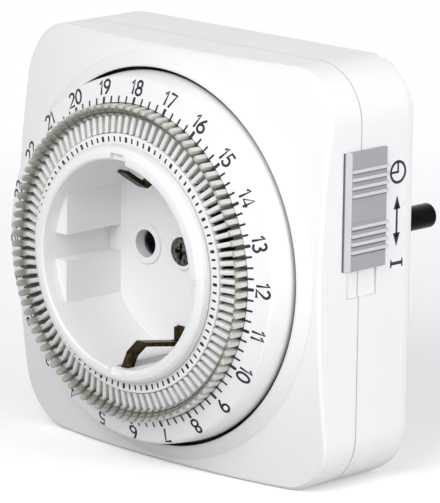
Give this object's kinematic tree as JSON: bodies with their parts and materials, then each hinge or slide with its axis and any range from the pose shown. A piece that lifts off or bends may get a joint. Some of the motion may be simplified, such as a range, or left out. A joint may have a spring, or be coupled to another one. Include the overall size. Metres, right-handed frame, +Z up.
{
  "type": "plug-in timer switch",
  "caption": "Square plug-in mechanical day timer with a ring of push-in tappets round an earthed socket, a side override slider and a plug at the back.",
  "frame": {"origin": "under the middle of the bounding box, on the housing's flat base", "axes": "+X right, +Y back from the dial towards the plug, +Z up; the dial and socket face -Y"},
  "size_m": [0.0802, 0.0764, 0.079],
  "materials": {
    "housing_white": "glossy injection-moulded shells",
    "well_white": "glossy moulded socket insert",
    "dial_white": "glossy moulded dial with printed figures",
    "tappet_natural": "milky translucent moulded fingers",
    "slider_grey": "satin light blue-grey",
    "carrier_white": "moulded",
    "mechanism_plastic": "moulded acetal plate",
    "gear_plastic": "moulded acetal gears",
    "bridge_plastic": "moulded plate",
    "steel": "bright steel",
    "screw_steel": "zinc-plated steel",
    "pin_nickel": "nickel-plated brass",
    "earth_bronze": "tarnished phosphor bronze",
    "brass": "bright brass strip",
    "contact_bronze": "spring bronze with silver rivet",
    "motor_can": "zinc-plated can",
    "lead_black": "insulated wire",
    "lead_blue": "insulated wire",
    "lever_plastic": "moulded lever"
  },
  "bodies": {
    "housing": {"front_shell": "housing_white", "rear_shell": "housing_white", "socket_well": "well_white", "centre_screw": "screw_steel", "housing_screws": "screw_steel", "mechanism_plate": "mechanism_plastic", "gear_bridge": "bridge_plastic", "gear_axles": "steel", "motor_case": "motor_can", "motor_screws": "screw_steel", "lever_pin": "steel", "contact_terminal": "brass", "fixed_contact": "contact_bronze", "live_link": "brass", "neutral_link": "brass", "sleeve_live": "brass", "sleeve_neutral": "brass", "plug_pin_live": "pin_nickel", "plug_pin_neutral": "pin_nickel", "earth_bracket": "earth_bronze", "plug_earth_contacts": "earth_bronze", "motor_lead_live": "lead_black", "motor_lead_neutral": "lead_blue"},
    "dial": {"program_dial": "dial_white"},
    "dial_drive": {"dial_pinion": "gear_plastic", "clutch_spring": "steel"},
    "clutch_wheel": {"clutch_wheel": "gear_plastic"},
    "gear_2": {"gear_2": "gear_plastic"},
    "gear_1": {"gear_1": "gear_plastic"},
    "motor_rotor": {"motor_pinion": "steel"},
    "switch_lever": {"switch_lever": "lever_plastic"},
    "contact_leaf": {"moving_contact": "contact_bronze"},
    "override": {"override_slider": "slider_grey", "slider_carrier": "carrier_white"},
    "tappets_h01": {"tappets_h01": "tappet_natural"},
    "tappets_h02": {"tappets_h02": "tappet_natural"},
    "tappets_h03": {"tappets_h03": "tappet_natural"},
    "tappets_h04": {"tappets_h04": "tappet_natural"},
    "tappets_h05": {"tappets_h05": "tappet_natural"},
    "tappets_h06": {"tappets_h06": "tappet_natural"},
    "tappets_h07": {"tappets_h07": "tappet_natural"},
    "tappets_h08": {"tappets_h08": "tappet_natural"},
    "tappets_h09": {"tappets_h09": "tappet_natural"},
    "tappets_h10": {"tappets_h10": "tappet_natural"},
    "tappets_h11": {"tappets_h11": "tappet_natural"},
    "tappets_h12": {"tappets_h12": "tappet_natural"},
    "tappets_h13": {"tappets_h13": "tappet_natural"},
    "tappets_h14": {"tappets_h14": "tappet_natural"},
    "tappets_h15": {"tappets_h15": "tappet_natural"},
    "tappets_h16": {"tappets_h16": "tappet_natural"},
    "tappets_h17": {"tappets_h17": "tappet_natural"},
    "tappets_h18": {"tappets_h18": "tappet_natural"},
    "tappets_h19": {"tappets_h19": "tappet_natural"},
    "tappets_h20": {"tappets_h20": "tappet_natural"},
    "tappets_h21": {"tappets_h21": "tappet_natural"},
    "tappets_h22": {"tappets_h22": "tappet_natural"},
    "tappets_h23": {"tappets_h23": "tappet_natural"},
    "tappets_h24": {"tappets_h24": "tappet_natural"}
  },
  "joints": [
    {"name": "dial_turn", "type": "hinge", "parent": "housing", "child": "dial", "pos_m": [-0.0006, -0.03015, 0.0395], "axis": [0, 1, 0], "continuous": true},
    {"name": "dial_pinion_turn", "type": "hinge", "parent": "housing", "child": "dial_drive", "pos_m": [-0.02993, -0.02395, 0.03933], "axis": [0, 1, 0], "continuous": true},
    {"name": "clutch_wheel_turn", "type": "hinge", "parent": "housing", "child": "clutch_wheel", "pos_m": [-0.02993, -0.02155, 0.03933], "axis": [0, 1, 0], "continuous": true},
    {"name": "gear_2_turn", "type": "hinge", "parent": "housing", "child": "gear_2", "pos_m": [-0.02969, -0.01975, 0.04743], "axis": [0, 1, 0], "continuous": true},
    {"name": "gear_1_turn", "type": "hinge", "parent": "housing", "child": "gear_1", "pos_m": [-0.02899, -0.01795, 0.0561], "axis": [0, 1, 0], "continuous": true},
    {"name": "motor_rotor_turn", "type": "hinge", "parent": "housing", "child": "motor_rotor", "pos_m": [-0.0238, -0.01795, 0.0627], "axis": [0, 1, 0], "continuous": true},
    {"name": "override_slide", "type": "slide", "parent": "housing", "child": "override", "axis": [0, 0, -1], "range_m": [0, 0.0053]},
    {"name": "switch_lever_swing", "type": "hinge", "parent": "housing", "child": "switch_lever", "pos_m": [0.026, -0.02525, 0.0305], "axis": [-1, 0, 0], "range_deg": [0, 8.31]},
    {"name": "switch_leaf_flex", "type": "hinge", "parent": "housing", "child": "contact_leaf", "pos_m": [0.0269, -0.01885, 0.0285], "axis": [-1, 0, 0], "range_deg": [0, 6.81]},
    {"name": "tappets_h01_push", "type": "slide", "parent": "dial", "child": "tappets_h01", "axis": [0, 1, 0], "range_m": [0, 0.0022]},
    {"name": "tappets_h02_push", "type": "slide", "parent": "dial", "child": "tappets_h02", "axis": [0, 1, 0], "range_m": [0, 0.0022]},
    {"name": "tappets_h03_push", "type": "slide", "parent": "dial", "child": "tappets_h03", "axis": [0, 1, 0], "range_m": [0, 0.0022]},
    {"name": "tappets_h04_push", "type": "slide", "parent": "dial", "child": "tappets_h04", "axis": [0, 1, 0], "range_m": [0, 0.0022]},
    {"name": "tappets_h05_push", "type": "slide", "parent": "dial", "child": "tappets_h05", "axis": [0, 1, 0], "range_m": [0, 0.0022]},
    {"name": "tappets_h06_push", "type": "slide", "parent": "dial", "child": "tappets_h06", "axis": [0, 1, 0], "range_m": [0, 0.0022]},
    {"name": "tappets_h07_push", "type": "slide", "parent": "dial", "child": "tappets_h07", "axis": [0, 1, 0], "range_m": [0, 0.0022]},
    {"name": "tappets_h08_push", "type": "slide", "parent": "dial", "child": "tappets_h08", "axis": [0, 1, 0], "range_m": [0, 0.0022]},
    {"name": "tappets_h09_push", "type": "slide", "parent": "dial", "child": "tappets_h09", "axis": [0, 1, 0], "range_m": [0, 0.0022]},
    {"name": "tappets_h10_push", "type": "slide", "parent": "dial", "child": "tappets_h10", "axis": [0, 1, 0], "range_m": [0, 0.0022]},
    {"name": "tappets_h11_push", "type": "slide", "parent": "dial", "child": "tappets_h11", "axis": [0, 1, 0], "range_m": [0, 0.0022]},
    {"name": "tappets_h12_push", "type": "slide", "parent": "dial", "child": "tappets_h12", "axis": [0, 1, 0], "range_m": [0, 0.0022]},
    {"name": "tappets_h13_push", "type": "slide", "parent": "dial", "child": "tappets_h13", "axis": [0, 1, 0], "range_m": [0, 0.0022]},
    {"name": "tappets_h14_push", "type": "slide", "parent": "dial", "child": "tappets_h14", "axis": [0, 1, 0], "range_m": [0, 0.0022]},
    {"name": "tappets_h15_push", "type": "slide", "parent": "dial", "child": "tappets_h15", "axis": [0, 1, 0], "range_m": [0, 0.0022]},
    {"name": "tappets_h16_push", "type": "slide", "parent": "dial", "child": "tappets_h16", "axis": [0, 1, 0], "range_m": [0, 0.0022]},
    {"name": "tappets_h17_push", "type": "slide", "parent": "dial", "child": "tappets_h17", "axis": [0, 1, 0], "range_m": [0, 0.0022]},
    {"name": "tappets_h18_push", "type": "slide", "parent": "dial", "child": "tappets_h18", "axis": [0, 1, 0], "range_m": [0, 0.0022]},
    {"name": "tappets_h19_push", "type": "slide", "parent": "dial", "child": "tappets_h19", "axis": [0, 1, 0], "range_m": [0, 0.0022]},
    {"name": "tappets_h20_push", "type": "slide", "parent": "dial", "child": "tappets_h20", "axis": [0, 1, 0], "range_m": [0, 0.0022]},
    {"name": "tappets_h21_push", "type": "slide", "parent": "dial", "child": "tappets_h21", "axis": [0, 1, 0], "range_m": [0, 0.0022]},
    {"name": "tappets_h22_push", "type": "slide", "parent": "dial", "child": "tappets_h22", "axis": [0, 1, 0], "range_m": [0, 0.0022]},
    {"name": "tappets_h23_push", "type": "slide", "parent": "dial", "child": "tappets_h23", "axis": [0, 1, 0], "range_m": [0, 0.0022]},
    {"name": "tappets_h24_push", "type": "slide", "parent": "dial", "child": "tappets_h24", "axis": [0, 1, 0], "range_m": [0, 0.0022]}
  ],
  "couplings": [
    {"joint": "dial_pinion_turn", "follows": "dial_turn", "ratio": 12},
    {"joint": "clutch_wheel_turn", "follows": "gear_2_turn", "ratio": -0.125},
    {"joint": "gear_1_turn", "follows": "gear_2_turn", "ratio": -6.25},
    {"joint": "motor_rotor_turn", "follows": "gear_2_turn", "ratio": 37.5},
    {"joint": "switch_lever_swing", "follows": "tappets_h12_push", "rad_per_m": 65.847},
    {"joint": "switch_leaf_flex", "follows": "tappets_h12_push", "rad_per_m": 53.947}
  ]
}
